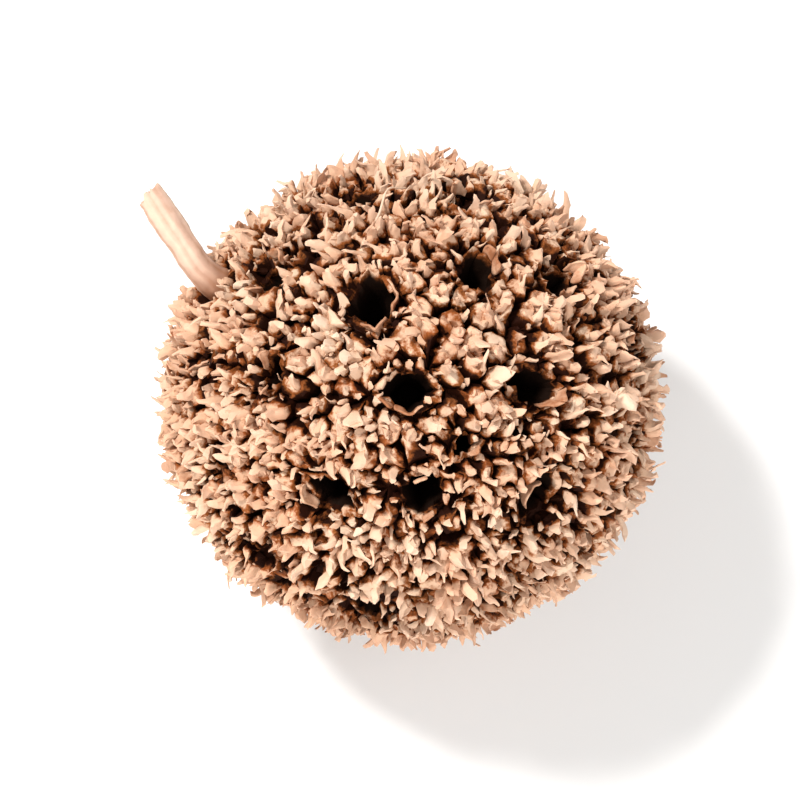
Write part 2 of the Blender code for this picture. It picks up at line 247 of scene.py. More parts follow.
# Dry surfaces: roughness, scale of the grain, and depth and strength of its relief
SURFACES = {
    "Ball wood": (0.72, 1900.0, 0.10 * MM, 0.9),
    "Stalk bark": (0.66, 1100.0, 0.06 * MM, 0.6),
    "Valve skin": (0.68, 1500.0, 0.05 * MM, 0.6),
    "Fibre skin": (0.68, 2500.0, 0.05 * MM, 0.6),
}
FLOOR_ROUGHNESS = 0.6
SHINE = 0.08

# Lights: name, way to it in the picture (right, up, out), distance, size, power and colour
LIGHTS = (
    ("key", (-0.52, 0.60, 0.90), 0.42, 0.08, 2.35, (1.0, 0.985, 0.965)),
    ("fill", (0.9, 0.0, 0.8), 0.5, 0.4, 0.9, (0.97, 0.98, 1.0)),
    ("front", (0.0, -0.8, 0.7), 0.5, 0.4, 2.4, (1.0, 0.985, 0.96)),
)
WORLD_STRENGTH = 0.34
SENSOR_WIDTH = 36.0
FLOOR_HALF_WIDTH = 1.5
FLOOR_DROP = 0.02 * MM

BALL_CENTRE = Vector((0.0, 0.0, REST_HEIGHT))
PICTURE_MIDDLE = Vector((-0.6 * MM, 0.0, REST_HEIGHT))
CENTRE_ROW = np.array(BALL_CENTRE)
STRETCH_ROW = np.array(BALL_STRETCH)
FACE_OUT_ROW = np.array(FACE_OUT)
FULL_TURN = 2.0 * math.pi
GOLDEN_TURN = math.pi * (3.0 - math.sqrt(5.0))

# How capsules and spines are pushed apart, and where every random draw starts
PUSH_SHARE = 0.4
CAPSULE_ROUNDS = 60
SPINE_ROUNDS = 14
SEED = 41

NO_KIND, SPINE = 0, -1


class Pit:
    """A pit let into the ball: a frame on the unit sphere, and the half sizes of its mouth."""

    def __init__(self, normal, along, half_long, half_wide, is_socket=False):
        self.normal = Vector(normal).normalized()
        along = Vector(along)
        self.along = (along - along.dot(self.normal) * self.normal).normalized()
        self.across = self.normal.cross(self.along)
        self.half_long = half_long
        self.half_wide = half_wide
        self.is_socket = is_socket
        self.rows = [np.array(axis) for axis in (self.normal, self.along, self.across)]

    def flat_place(self, direction):
        """Where a direction falls on the plane that touches the unit sphere at the pit."""
        height = direction.dot(self.normal)
        return direction.dot(self.along) / height, direction.dot(self.across) / height

    def reach(self, margin):
        """How far the pit reaches along each axis, with a margin, on the unit sphere."""
        long, wide = self.half_long + margin, self.half_wide + margin
        return long / VALLEY_RADIUS, wide / VALLEY_RADIUS

    def direction(self, x, y):
        return (self.normal + x * self.along + y * self.across).normalized()


def resting_tips():
    """The tips of the three spines that reach the floor and of the one that ends in the flat spot,
    from the ball's centre."""
    tips = []
    for heading in FOOT_HEADINGS:
        turn = math.radians(heading)
        x, y = FOOT_REACH * math.cos(turn), FOOT_REACH * math.sin(turn)
        tips.append(Vector((x, y, -REST_HEIGHT)))
    tips.append(Vector((0.0, 0.0, -REST_HEIGHT - SPOT_SPINE_REACH)))
    return tips


def unstretched(place):
    """The direction on the unit sphere of a place on the ball."""
    return Vector(a / b for a, b in zip(place, BALL_STRETCH)).normalized()


def face_direction(right_mm, up_mm, radius):
    """The direction from the ball's centre to a place on the side that the camera sees."""
    right, up = right_mm * MM / radius, up_mm * MM / radius
    out = math.sqrt(1.0 - right * right - up * up)
    return (right * FACE_RIGHT + up * FACE_UP + out * FACE_OUT).normalized()


def even_directions(count, draw, jitter):
    """Directions on a golden spiral over the sphere, each moved a little."""
    steps = np.arange(count) + 0.5
    height = 1.0 - 2.0 * steps / count
    turn = GOLDEN_TURN * steps
    ring = np.sqrt(1.0 - height * height)
    points = np.column_stack([ring * np.cos(turn), ring * np.sin(turn), height])
    return unit_rows(points + draw.normal(0.0, jitter, points.shape))


def unit_rows(points):
    return points / np.linalg.norm(points, axis=1, keepdims=True)


def pushed_apart(free, fixed, gap):
    """One round of pushing every free direction off its nearer neighbours; the fixed ones stay."""
    offset = free[:, None, :] - np.vstack([free, fixed])[None, :, :]
    distance = np.linalg.norm(offset, axis=2)
    np.fill_diagonal(distance, np.inf)
    push = np.clip(gap - distance, 0.0, None) / distance
    return unit_rows(free + PUSH_SHARE * (offset * push[:, :, None]).sum(axis=1))


def pushed_off_face(points):
    """Moves any direction on the seen side straight back to that side's edge."""
    height = points @ FACE_OUT_ROW
    ahead = height > FACE_EDGE
    aside = unit_rows(points[ahead] - height[ahead, None] * FACE_OUT_ROW)
    points[ahead] = FACE_EDGE * FACE_OUT_ROW + math.sqrt(1.0 - FACE_EDGE * FACE_EDGE) * aside
    return points


def make_pits(draw):
    """The capsules of the seen side, the stalk's socket, and the rest spread over the ball."""
    pits = []
    for right, up, half_long, half_wide, turn in FACE_CAPSULES:
        heading = math.radians(turn)
        along = math.cos(heading) * FACE_RIGHT + math.sin(heading) * FACE_UP
        normal = face_direction(right, up, LIP_CREST_RADIUS)
        pits.append(Pit(normal, along, half_long * MM, half_wide * MM))
    mouth = STALK_RADIUS + SOCKET_GAP
    pits.append(Pit(face_direction(*STALK_BASE_AT, SPINE_TIP_RADIUS), FACE_UP, mouth, mouth, True))

    kept_clear = [pit.normal for pit in pits] + [unstretched(tip) for tip in resting_tips()]
    fixed = np.array([tuple(direction) for direction in kept_clear])
    free = even_directions(CAPSULE_COUNT, draw, CAPSULE_JITTER)
    free = free[np.argsort(free @ FACE_OUT_ROW, kind="stable")]
    free = free[: CAPSULE_COUNT - len(FACE_CAPSULES)]
    gap = CAPSULE_SPACING * math.sqrt(8.0 * math.pi / (math.sqrt(3.0) * CAPSULE_COUNT))
    for _ in range(CAPSULE_ROUNDS):
        free = pushed_off_face(pushed_apart(free, fixed, gap))
    for normal in free:
        along = draw.normal(size=3)
        half_long = draw.uniform(*CAPSULE_LONG)
        half_wide = min(draw.uniform(*CAPSULE_WIDE), 0.9 * half_long)
        pits.append(Pit(normal, along, half_long, half_wide))
    return pits


def pushed_off_pits(points, pits, clearance):
    """Moves any direction that lies on a pit, or on its rim, out to the rim's edge."""
    for pit in pits:
        normal, along, across = pit.rows
        height = points @ normal
        near = height > 0.9
        x = points[near] @ along / height[near]
        y = points[near] @ across / height[near]
        reach_x, reach_y = pit.reach(clearance)
        share = np.hypot(x / reach_x, y / reach_y)
        grow = np.where(share < 1.0, 1.0 / np.maximum(share, 0.05), 1.0)
        moved = normal + (grow * x)[:, None] * along + (grow * y)[:, None] * across
        points[near] = unit_rows(moved)
    return points


def spine_directions(pits, draw):
    """Where the spines stand: evenly but not regularly, clear of every pit and resting spine."""
    gap = SPINE_PITCH / VALLEY_RADIUS
    count = int(8.0 * math.pi / (math.sqrt(3.0) * gap * gap))
    points = even_directions(count, draw, SPINE_JITTER * gap)
    clearance = LIP_THICKNESS + SPINE_CLEARANCE
    inside = np.zeros(len(points), bool)
    for pit in pits:
        height, x, y = (points @ axis for axis in pit.rows)
        reach_x, reach_y = pit.reach(0.6 * clearance)
        inside |= (height > 0.0) & (np.hypot(x / reach_x, y / reach_y) < 1.0)
    points = points[~inside]
    resting = np.array([tuple(unstretched(tip)) for tip in resting_tips()])
    nearest = np.linalg.norm(points[:, None, :] - resting[None, :, :], axis=2).min(axis=1)
    points = points[nearest > RESTING_ROOM * gap]
    for _ in range(SPINE_ROUNDS):
        points = pushed_off_pits(pushed_apart(points, resting, gap), pits, clearance)
    return points


def second_points(spines, pits, draw):
    """For some of the spines, the direction of a second point close beside the first."""
    chosen = spines[draw.random(len(spines)) < TWO_POINTED_SHARE]
    aside = np.cross(chosen, draw.normal(size=chosen.shape))
    step = TWO_POINTED_WIDTH * SPINE_PITCH / VALLEY_RADIUS
    beside = unit_rows(chosen + step * unit_rows(aside))
    return pushed_off_pits(beside, pits, LIP_THICKNESS + 0.8 * SPINE_CLEARANCE)


def mouth_ring(pit, margin, draw):
    """The directions of the points round a pit's mouth: a circle, or a blunt, uneven rhombus."""
    power = 2.0 if pit.is_socket else CAPSULE_CORNER_POWER
    uneven = 0.0 if pit.is_socket else CAPSULE_UNEVENNESS
    ring = []
    for step in range(CAPSULE_SIDES):
        angle = FULL_TURN * step / CAPSULE_SIDES
        cosine, sine = math.cos(angle), math.sin(angle)
        reach = (abs(cosine) ** power + abs(sine) ** power) ** (-1.0 / power)
        reach *= draw.uniform(1.0 - uneven, 1.0 + uneven)
        x = (pit.half_long + margin) * reach * cosine / VALLEY_RADIUS
        y = (pit.half_wide + margin) * reach * sine / VALLEY_RADIUS
        ring.append(pit.direction(x, y))
    return ring


def wave(direction, scale, phase):
    """A slow, smooth wave over the sphere, from -1 to 1."""
    x, y, z = (scale * value for value in direction)
    waves = math.sin(x + phase) + math.sin(y * 1.3 + 2.0 * phase) + math.sin(z * 1.7 + z * x)
    return waves / 3.0


def stretched(direction, radius):
    """A point at that radius, with the ball's slow unevenness and its slightly flat shape."""
    unevenness = BALL_WAVE * wave(direction, BALL_WAVE_SCALE, BALL_WAVE_PHASE)
    place = direction * radius * (1.0 + unevenness)
    return Vector(a * b for a, b in zip(place, BALL_STRETCH))


def cell_sizes(vert, place):
    """The size of each triangle round a vertex, were the vertex at that place."""
    sizes = []
    for loop in vert.link_loops:
        after, before = loop.link_loop_next.vert.co, loop.link_loop_prev.vert.co
        sizes.append(place.dot(after.cross(before)))
    return sizes


def leaned(vert, lean):
    """The place of a spine's tip, moved aside as far as its own cell has room for."""
    least = [LEAN_LEAVES * size for size in cell_sizes(vert, vert.co)]
    for _ in range(LEAN_TRIES):
        place = (vert.co + lean).normalized()
        if all(size > floor for size, floor in zip(cell_sizes(vert, place), least)):
            return place
        lean = lean * LEAN_EASED
    return vert.co.copy()


def worn_short(place):
    """A place on the ball, drawn in along its own radius until it is clear of the floor."""
    lowest = WORN_GAP - REST_HEIGHT
    return place * (lowest / place.z) if place.z < lowest else place


class CoarseSkin:
    """The solid ball's own skin, with what the fine surface needs to know at each vertex.

    The layers are share (1 at a spine's tip, 0 in the crevice beside it), lift (a spine's height),
    blunt and tone (a spine's own draws, times its share), lip (1 on a capsule's rim) and inside
    (1 on a pit's floor)."""

    LAYERS = ("share", "lift", "blunt", "tone", "lip", "inside")

    def __init__(self, pits):
        self.pits = pits
        self.draw = np.random.default_rng(SEED)
        self.look = np.random.default_rng(SEED + 1)
        self.mesh = bmesh.new()
        self.kind = self.mesh.verts.layers.int.new("kind")
        self.rest = self.mesh.verts.layers.int.new("rest")
        self.crests = {}
        for name in self.LAYERS:
            self.mesh.verts.layers.float.new(name)
        spines = spine_directions(pits, self.draw)
        spines = np.vstack([spines, second_points(spines, pits, self.draw)])
        self.add_places(spines)
        mouths = self.open_mouths()
        self.cut_valleys()
        self.raise_spines()
        for number, pit in enumerate(pits, start=1):
            self.crests[number] = self.sink_pit(mouths[number], pit)
        bmesh.ops.translate(self.mesh, verts=self.mesh.verts, vec=BALL_CENTRE)
        self.tips = self.places_of(SPINE)
        self.lows = self.places_of(NO_KIND)
        bmesh.ops.triangulate(self.mesh, faces=self.mesh.faces)
        bmesh.ops.recalc_face_normals(self.mesh, faces=self.mesh.faces)

    def places_of(self, kind):
        return np.array([tuple(vert.co) for vert in self.mesh.verts if vert[self.kind] == kind])

    def note(self, vert, **values):
        for name in self.LAYERS:
            vert[self.mesh.verts.layers.float[name]] = values.get(name, 0.0)

    def add_places(self, spines):
        for direction in spines:
            self.mesh.verts.new(direction)[self.kind] = SPINE
        for number, tip in enumerate(resting_tips(), start=1):
            vert = self.mesh.verts.new(unstretched(tip))
            vert[self.kind], vert[self.rest] = SPINE, number
        for number, pit in enumerate(self.pits, start=1):
            for direction in mouth_ring(pit, LIP_THICKNESS, self.draw):
                self.mesh.verts.new(direction)[self.kind] = number
        bmesh.ops.convex_hull(self.mesh, input=self.mesh.verts, use_existing_faces=False)

    def open_mouths(self):
        """Joins the faces that span each pit's mouth into one."""
        spans = {number: [] for number in range(1, len(self.pits) + 1)}
        for face in self.mesh.faces:
            kinds = {vert[self.kind] for vert in face.verts}
            if len(kinds) == 1 and kinds.isdisjoint({SPINE, NO_KIND}):
                spans[kinds.pop()].append(face)
        mouths = {}
        for number, faces in spans.items():
            mouths[number] = bmesh.ops.dissolve_faces(self.mesh, faces=faces)["region"][0]
            if len(mouths[number].verts) != CAPSULE_SIDES:
                raise RuntimeError(f"pit {number} has {len(mouths[number].verts)} points round it")
        return mouths

    def cut_valleys(self):
        """Puts a low point between neighbouring spines, and joins the low points round each."""
        kind, mesh = self.kind, self.mesh
        between = [face for face in mesh.faces if sum(v[kind] == SPINE for v in face.verts) > 1]
        ridge = RIDGE_LENGTH * SPINE_PITCH / VALLEY_RADIUS
        saddles = [
            edge
            for edge in mesh.edges
            if all(vert[kind] == SPINE for vert in edge.verts) and edge.calc_length() > ridge
        ]
        for low_point in bmesh.ops.poke(mesh, faces=between)["verts"]:
            low_point[kind], low_point[self.rest] = NO_KIND, 0
        bmesh.ops.rotate_edges(mesh, edges=saddles, use_ccw=False)

    def raise_spines(self):
        """Leans the tips aside, and moves every vertex from the unit sphere to its radius."""
        draw, kind, rest = self.draw, self.kind, self.rest
        for vert in self.mesh.verts:
            if vert[kind] == SPINE and not vert[rest]:
                lean = Vector(draw.uniform(-SPINE_LEAN, SPINE_LEAN, 3)) * SPINE_PITCH
                vert.co = leaned(vert, lean / VALLEY_RADIUS)
        tips = resting_tips()
        for vert in self.mesh.verts:
            if vert[rest]:
                vert.co = tips[vert[rest] - 1]
                self.note(vert, share=1.0, lift=SPINE_HEIGHT_MOST, tone=0.5)
                continue
            if vert[kind] == SPINE:
                height = draw.uniform(SPINE_HEIGHT_LEAST, SPINE_HEIGHT_MOST)
                radius = SPINE_TIP_RADIUS - SPINE_HEIGHT_MOST + height
                blunt, tone = self.look.random(2)
                self.note(vert, share=1.0, lift=height, blunt=blunt, tone=tone)
            else:
                radius = VALLEY_RADIUS + draw.uniform(-VALLEY_WAVE, VALLEY_WAVE)
                self.note(vert)
            vert.co = worn_short(stretched(vert.co.normalized(), radius))

    def sink_pit(self, mouth, pit):
        """Draws a mouth up into its lip and down to its floor; returns the points of the crest."""
        if pit.is_socket:
            rings = (
                (LIP_EDGE, VALLEY_RADIUS, 1.0, 0.0, {}),
                (0.0, VALLEY_RADIUS, 1.0, 0.0, {"inside": 0.2}),
                (0.0, VALLEY_RADIUS - SOCKET_DEPTH, 1.0, 0.0, {"inside": 1.0}),
            )
        else:
            rings = (
                (LIP_EDGE, LIP_CREST_RADIUS, 1.0, 1.0, {"lip": 1.0}),
                (0.0, LIP_CREST_RADIUS - 0.5 * LIP_EDGE, 1.0, 1.0, {"lip": 1.0}),
                (0.0, LIP_CREST_RADIUS - CAPSULE_DEPTH, CAPSULE_FLOOR, 0.0, {"inside": 1.0}),
            )
        margin, share = LIP_THICKNESS, 1.0
        heights = self.draw.uniform(-LIP_WAVE, LIP_WAVE, CAPSULE_SIDES)
        crests = []
        for next_margin, radius, next_share, rise, notes in rings:
            narrow_x = (pit.half_long + next_margin) * next_share
            narrow_x /= (pit.half_long + margin) * share
            narrow_y = (pit.half_wide + next_margin) * next_share
            narrow_y /= (pit.half_wide + margin) * share
            mouth = bmesh.ops.extrude_discrete_faces(self.mesh, faces=[mouth])["faces"][0]
            for vert, height in zip(mouth.verts, heights):
                x, y = pit.flat_place(unstretched(vert.co))
                beak = LIP_BEAK * (x * x - y * y) / (x * x + y * y)
                at_radius = radius + rise * (height + beak)
                direction = pit.direction(x * narrow_x, y * narrow_y)
                vert.co = stretched(direction, at_radius)
                self.note(vert, **notes)
            crests.append([BALL_CENTRE + vert.co for vert in mouth.verts])
            margin, share = next_margin, next_share
        return crests[1]


def sizes():
    return bpy.context.scene.seed_ball_sizes


def colours():
    return bpy.context.scene.seed_ball_colours


def smooth_step(values):
    values = np.clip(values, 0.0, 1.0)
    return values * values * (3.0 - 2.0 * values)


def points_of(mesh):
    values = np.empty(len(mesh.vertices) * 3, np.float32)
    mesh.vertices.foreach_get("co", values)
    return values.reshape(-1, 3).astype(float)


def move_points(mesh, points):
    """Moves a mesh's points, but not past the solid ball's box; returns where they end up."""
    places = kept_in_box(points, "seed_ball")
    mesh.vertices.foreach_set("co", places.astype(np.float32).ravel())
    mesh.update()
    return places


def mesh_from(name, built):
    """A mesh of that name from one being built, which is freed."""
    mesh = bpy.data.meshes.new(name)
    built.to_mesh(mesh)
    built.free()
    return mesh


def mesh_of(name, points, faces):
    mesh = bpy.data.meshes.new(name)
    mesh.from_pydata(points.tolist(), [], faces)
    mesh.update()
    return mesh


def tube_faces(sides, rings):
    """Faces of a tube whose points run ring by ring: its floor and its wall."""
    faces = [tuple(reversed(range(sides)))]
    for low in range(0, (rings - 1) * sides, sides):
        for step in range(sides):
            after = (step + 1) % sides
            faces.append((low + step, low + after, low + sides + after, low + sides + step))
    return faces


def top_faces(sides, rings):
    """Triangles from the last ring of such a tube to the one point that comes after it."""
    low = (rings - 1) * sides
    return [(low + step, low + (step + 1) % sides, low + sides) for step in range(sides)]


def even_turns(sides):
    return np.linspace(0.0, FULL_TURN, sides, endpoint=False)


def rows_of(mesh, name):
    values = np.empty(len(mesh.vertices), np.float32)
    mesh.attributes[name].data.foreach_get("value", values)
    return values.astype(float)


def noise_rows(points, name):
    """A smooth random vector at each point, each part from about -1 to 1, alike in every run."""
    size, offset = NOISES[name]
    noise.seed_set(SEED)
    places = points / size + offset
    return np.array([noise.noise_vector(Vector(place)) for place in places])


def write_rows(mesh, name, values):
    if name not in mesh.attributes:
        mesh.attributes.new(name, "FLOAT", "POINT")
    mesh.attributes[name].data.foreach_set("value", np.asarray(values, np.float32))


def kept_in_box(points, node, spare=0.0):
    """The points, held inside the box of the solid that they stand for, or just beyond it where
    another solid reaches as far."""
    low, high = (np.array(corner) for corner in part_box(node))
    least, most = (np.array(corner) for corner in cad_box)
    return np.clip(points, np.maximum(low - spare, least), np.minimum(high + spare, most))


def add_object(name, data):
    added = bpy.data.objects.new(name, data)
    bpy.context.scene.collection.objects.link(added)
    return added


def add_piece(mesh, node, material, sharp=None):
    """A piece of the dressing, named as its mesh is, in the place of the solid node."""
    piece = add_object(mesh.name, mesh)
    mesh.materials.append(material)
    mesh.shade_smooth()
    if sharp:
        mesh.set_sharp_from_angle(angle=sharp)
    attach(piece, "root")
    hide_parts(node)
    return piece


def crumb_profile(share, blunt):
    """How high the skin stands at that share of the way up a spine: a steep foot, a blunt top."""
    plateau = 0.74 * smooth_step(share / 0.32) + 0.26 * share
    return share + blunt * (plateau - share)


def depth_share(points):
    """How far out a place is: 0 at the level of the valleys, 1 at the tallest spines' tips."""
    radius = np.linalg.norm((points - CENTRE_ROW) / STRETCH_ROW, axis=1)
    return (radius - VALLEY_RADIUS) / (SPINE_TIP_RADIUS - VALLEY_RADIUS)


def fine_skin(skin):
    """The ball's skin cut fine, with steep-sided blunt crumbs, deep crevices and crooked faces."""
    values = sizes()
    built = skin.mesh
    bmesh.ops.subdivide_edges(built, edges=built.edges, cuts=3, use_grid_fill=True)
    bmesh.ops.triangulate(built, faces=built.faces)
    mesh = mesh_from("ball_skin", built)
    points = points_of(mesh)
    share, lift, blunt, tone, lip, inside = (rows_of(mesh, name) for name in CoarseSkin.LAYERS)
    whole = np.maximum(share, 1e-6)
    own_blunt = values.bluntness * (0.2 + 0.8 * blunt / whole)
    outward = unit_rows(points - CENTRE_ROW)

    dented = np.where(blunt / whole > 0.6, values.dent * smooth_step((share - 0.75) / 0.25), 0.0)
    rise = lift / whole * (crumb_profile(share, own_blunt) - share)
    open_skin = 1.0 - np.maximum(smooth_step(lip), smooth_step(inside * 3.0))
    patch = 0.6 + 0.7 * noise_rows(points, "skin patches")[:, 0]
    crevice = values.crevice_depth * (1.0 - smooth_step(share / 0.3)) * open_skin
    crevice *= np.clip(patch, 0.1, 1.3)
    height = np.where(share > 0.0, rise - dented, 0.0) - crevice

    folds = noise_rows(points, "skin folds")
    creased = (0.5 - np.abs(folds[:, 0]) * 2.0) * values.creases * np.where(share > 0.0, 1.0, 0.4)
    creased *= 1.0 - smooth_step(inside * 3.0)
    crook = noise_rows(points, "skin crook") * values.crook
    rough = noise_rows(points, "skin lumps") * values.roughness
    loose = (0.45 + 0.55 * np.maximum(share, lip))[:, None]
    height = height - values.skin_sink * np.maximum(share, values.lip_sink * lip)
    moved = points + (height + creased)[:, None] * outward + crook * loose + rough
    tattered = noise_rows(points, "torn lips") * values.lip_tatter
    moved += tattered * (lip * (inside < 0.05))[:, None]
    moved = move_points(mesh, moved)
    write_rows(mesh, "tone", np.where(share > 0.0, tone / whole, 0.5))
    # How far out each point lies, which the paint turns into painted shade towards the crevices
    write_rows(mesh, "height", depth_share(moved) * 0.55 + np.maximum(share, 0.8 * lip) * 0.45)
    return mesh


def worn_rows(places):
    """Places on the ball, each drawn in along its own radius until it is clear of the floor."""
    outward = places - CENTRE_ROW
    lowest = WORN_GAP - REST_HEIGHT
    low = outward[:, 2] < lowest
    outward[low] *= (lowest / outward[low, 2])[:, None]
    return CENTRE_ROW + outward


def rim_seats(pits, draw):
    """Directions of the crumbs that stand on the capsules' rims, and the way out of each mouth."""
    values = sizes()
    seats, outer = [], []
    for pit in pits:
        around = FULL_TURN * math.hypot(pit.half_long, pit.half_wide) / math.sqrt(2.0)
        count = int(around / values.rim_pitch)
        start = draw.uniform(0.0, FULL_TURN)
        for step in range(count):
            angle = start + FULL_TURN * (step + draw.uniform(-0.3, 0.3)) / count
            margin = draw.uniform(*values.rim_margin)
            cosine, sine = math.cos(angle), math.sin(angle)
            reach = (abs(cosine) ** 1.5 + abs(sine) ** 1.5) ** (-1.0 / 1.5)
            x = (pit.half_long * reach + margin) * cosine / VALLEY_RADIUS
            y = (pit.half_wide * reach + margin) * sine / VALLEY_RADIUS
            seats.append(pit.direction(x, y))
            outer.append((x * pit.along + y * pit.across).normalized())
    return np.array(seats), np.array(outer)


def ball_place(ways, radius):
    """Places on the ball at that radius, from directions on the unit sphere."""
    return CENTRE_ROW + ways * radius * STRETCH_ROW


def crumb_groups(skin, draw):
    """Feet and tips of the crumbs: one on each of the solid's spines, smaller ones in the
    hollows between spines, and small ones on the capsules' rims."""
    values = sizes()
    foot = VALLEY_RADIUS - values.crumb_root
    ways = unit_rows((skin.tips - CENTRE_ROW) / STRETCH_ROW)
    stray = draw.normal(0.0, values.crumb_stray, ways.shape)
    yield "spine_crumbs", values.crumb_widths[0], ball_place(ways, foot) + stray, skin.tips

    patch = noise_rows(skin.lows, "filled hollows")[:, 0]
    filled = draw.random(len(skin.lows)) < values.hollow_share + 0.9 * patch
    ways = unit_rows((skin.lows[filled] - CENTRE_ROW) / STRETCH_ROW)
    tips = ball_place(ways, draw.uniform(*values.hollow_reach, (len(ways), 1)))
    tips = worn_rows(tips + draw.normal(0.0, 1.6 * values.crumb_stray, tips.shape))
    yield "hollow_crumbs", values.crumb_widths[1], ball_place(ways, foot), tips

    ways, outer = rim_seats(skin.pits, draw)
    reach = draw.uniform(*values.rim_reach, (len(ways), 1))
    seen_over = np.clip(outer @ FACE_OUT_ROW, 0.0, 1.0) * (ways @ FACE_OUT_ROW > 0.3)
    tips = ball_place(ways, reach - values.rim_lowered * seen_over[:, None])
    tips = worn_rows(tips + outer * draw.normal(*RIM_CRUMB_OUTWARD, (len(ways), 1)))
    yield "rim_crumbs", values.crumb_widths[2], ball_place(ways, foot), tips


def crumb_faces(count):
    """Faces of that many crumbs: a floor, a wall of rings and a top of triangles each."""
    rings = len(CRUMB_LEVELS)
    pattern = tube_faces(CRUMB_SIDES, rings) + top_faces(CRUMB_SIDES, rings)
    firsts = range(0, count * (CRUMB_SIDES * rings + 1), CRUMB_SIDES * rings + 1)
    return [tuple(first + corner for corner in face) for first in firsts for face in pattern]


def crumb_points(feet, tips, half_width, draw):
    """Rings of points, and a middle one at the end, for bent, twisted, angular crumbs; and how
    far up its crumb each point lies."""
    count, sides = len(feet), CRUMB_SIDES
    length = np.linalg.norm(tips - feet, axis=1)
    ups = (tips - feet) / length[:, None]
    aside = unit_rows(np.cross(ups, draw.normal(size=ups.shape)))
    other = np.cross(ups, aside)
    width = np.exp(draw.normal(0.0, CRUMB_WIDTH_SPREAD, count))
    width = half_width * np.clip(width, *CRUMB_WIDTH_RANGE)
    flatness = draw.uniform(*CRUMB_FLATNESS, count)
    bow = draw.normal(0.0, CRUMB_BOW, (count, 2)) * length[:, None]
    hook = draw.normal(0.0, CRUMB_HOOK, (count, 2)) * length[:, None]
    corner = draw.uniform(*CRUMB_CORNERS, (count, sides))
    twist = draw.normal(0.0, CRUMB_TWIST, count)
    pointed = draw.random(count) < CRUMB_POINTED_SHARE
    tops = [draw.uniform(*tops, count) for tops in (CRUMB_POINTED_TOPS, CRUMB_BLUNT_TOPS)]
    top = np.where(pointed, *tops)
    tilt = draw.normal(0.0, CRUMB_TILT, (count, 2))
    turns = draw.uniform(0.0, FULL_TURN, (count, 1)) + even_turns(sides)[None, :]

    points = np.empty((count, sides * len(CRUMB_LEVELS) + 1, 3))
    rises = np.empty(points.shape[:2])
    for level, along in enumerate(CRUMB_LEVELS):
        girth = width * (1.0 - (1.0 - top) * smooth_step(along / 0.95 - 0.1))
        girth *= draw.uniform(0.88, 1.12, count) * (0.62 if along == 1.0 else 1.0)
        angle = turns + (twist * along)[:, None]
        uneven = corner * draw.uniform(0.86, 1.14, corner.shape)
        x = np.cos(angle) * uneven * (girth * flatness)[:, None]
        y = np.sin(angle) * uneven * (girth / flatness)[:, None]
        lift = (tilt[:, :1] * x + tilt[:, 1:] * y) * along
        bent = 4.0 * along * (1.0 - along) * bow + along * along * along * hook
        middle = feet + (along * length)[:, None] * ups
        middle = middle + bent[:, :1] * aside + bent[:, 1:] * other
        ring = middle[:, None, :] + x[..., None] * aside[:, None, :]
        ring = ring + y[..., None] * other[:, None, :] + lift[..., None] * ups[:, None, :]
        points[:, level * sides : (level + 1) * sides] = ring
        rises[:, level * sides : (level + 1) * sides] = along
    dimple = np.where(pointed, 0.15, draw.uniform(-0.30, 0.12, count)) * width
    points[:, -1] = points[:, -1 - sides : -1].mean(axis=1) + dimple[:, None] * ups
    # A dented end's middle point counts as lower, so the paint gives the dent painted shade
    rises[:, -1] = np.where(dimple < 0.0, 0.75, 1.0)
    return points, rises


def crumb_mesh(name, half_width, feet, tips, draw):
    """Chunky, angular, crooked crumbs of wood as one mesh."""
    values = sizes()
    points, rises = crumb_points(feet, tips, half_width, draw)
    places = points.reshape(-1, 3)
    lumps = noise_rows(places, "crumb lumps") * values.crumb_lumps
    lumps += noise_rows(places, "small crumb lumps") * 0.45 * values.crumb_lumps
    places = kept_in_box(places + lumps, "seed_ball")
    mesh = mesh_of(name, places, crumb_faces(len(feet)))
    tone = 0.6 * draw.random(len(feet)) + 0.4 + 0.8 * noise_rows(feet, "crumb tones")[:, 0]
    write_rows(mesh, "tone", np.repeat(np.clip(tone, 0.0, 1.0), points.shape[1]))
    # How far out and up each point lies, which the paint turns into painted shade towards the
    # crumbs' feet
    write_rows(mesh, "height", 0.45 * depth_share(places) + 0.55 * rises.ravel())
    write_rows(mesh, "inside", np.zeros(len(places)))
    return mesh


def side_points(crest, first):
    """Evenly spread points along half of a capsule's rim, each with how far along it lies: 0 to 4
    from one corner to the other."""
    corners = [crest[(first + step) % len(crest)] for step in range(5)]
    for step in range(VALVE_STEPS):
        along = 4.0 * step / (VALVE_STEPS - 1)
        low = min(int(along), 3)
        yield along, corners[low].lerp(corners[low + 1], along - low)


def valve_draws(number, side, draw):
    """Height, highest point, curl and jags of a valve."""
    if number <= len(FACE_VALVES):
        tall, peak = FACE_VALVES[number - 1][side]
    else:
        tall, peak = float(draw.choice(VALVE_HEIGHTS)), int(draw.integers(0, 5))
    return tall, peak, float(draw.uniform(*VALVE_CURL)), draw.uniform(*VALVE_JAGS, VALVE_STEPS)


